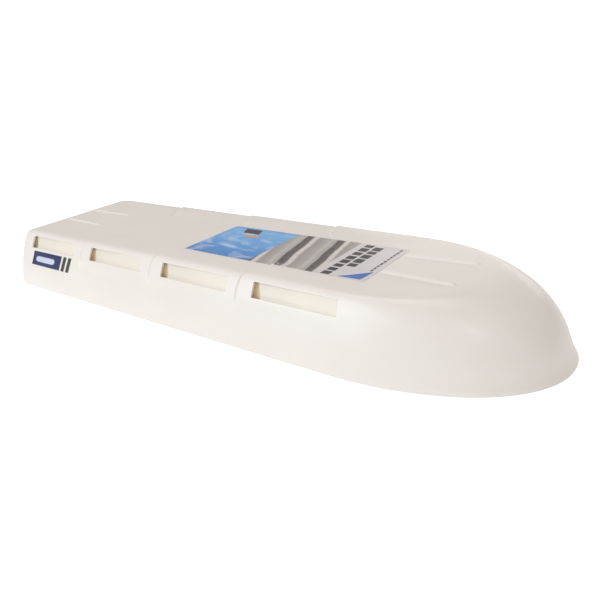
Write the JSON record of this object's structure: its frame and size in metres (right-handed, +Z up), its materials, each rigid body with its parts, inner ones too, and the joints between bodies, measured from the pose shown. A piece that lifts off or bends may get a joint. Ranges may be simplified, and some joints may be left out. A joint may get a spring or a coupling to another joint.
{
  "type": "refrigerator roof vent",
  "caption": "Long low roof vent with a round nose: a louvred lift-off cap over a flanged duct base with an insect screen.",
  "frame": {"origin": "centre of the footprint, on the vehicle roof surface", "axes": "+X from the square back end to the round nose, +Y to the left side, +Z up from the roof"},
  "size_m": [0.788, 0.24, 0.0823],
  "materials": {
    "cap_plastic": "semi-gloss off-white moulding",
    "baffle_plastic": "matt cream moulding",
    "base_plastic": "matt off-white moulding",
    "zinc_steel": "zinc plated",
    "screen_metal": "dull woven wire",
    "rubber": "moulded bush",
    "label_film": "printed film",
    "badge_film": "printed film"
  },
  "bodies": {
    "base": {"roof_base": "base_plastic", "insect_screen": "screen_metal", "screen_retainer_right": "base_plastic", "screen_retainer_left": "base_plastic", "screen_retainer_back": "base_plastic", "screen_retainer_front": "base_plastic", "retainer_screw_1": "zinc_steel", "retainer_screw_2": "zinc_steel", "retainer_screw_3": "zinc_steel", "retainer_screw_4": "zinc_steel", "retainer_screw_5": "zinc_steel", "retainer_screw_6": "zinc_steel", "retainer_screw_7": "zinc_steel", "retainer_screw_8": "zinc_steel"},
    "cover": {"cover_shell": "cap_plastic", "louvre_baffle_right": "baffle_plastic", "louvre_baffle_left": "baffle_plastic", "baffle_screw_right_1": "zinc_steel", "baffle_screw_right_2": "zinc_steel", "baffle_screw_right_3": "zinc_steel", "baffle_screw_left_1": "zinc_steel", "baffle_screw_left_2": "zinc_steel", "baffle_screw_left_3": "zinc_steel", "front_grommet_right": "rubber", "front_grommet_left": "rubber", "nut_plate_right": "zinc_steel", "nut_plate_left": "zinc_steel", "roof_label": "label_film", "side_badge": "badge_film"},
    "screw_right": {"cover_screw_right": "zinc_steel", "cover_washer_right": "zinc_steel"},
    "screw_left": {"cover_screw_left": "zinc_steel", "cover_washer_left": "zinc_steel"}
  },
  "joints": [
    {"name": "cover_lift", "type": "slide", "parent": "base", "child": "cover", "axis": [0, 0, 1], "range_m": [0, 0.12]},
    {"name": "screw_right_out", "type": "slide", "parent": "cover", "child": "screw_right", "axis": [-1, 0, 0], "range_m": [0, 0.025]},
    {"name": "screw_left_out", "type": "slide", "parent": "cover", "child": "screw_left", "axis": [-1, 0, 0], "range_m": [0, 0.025]}
  ]
}
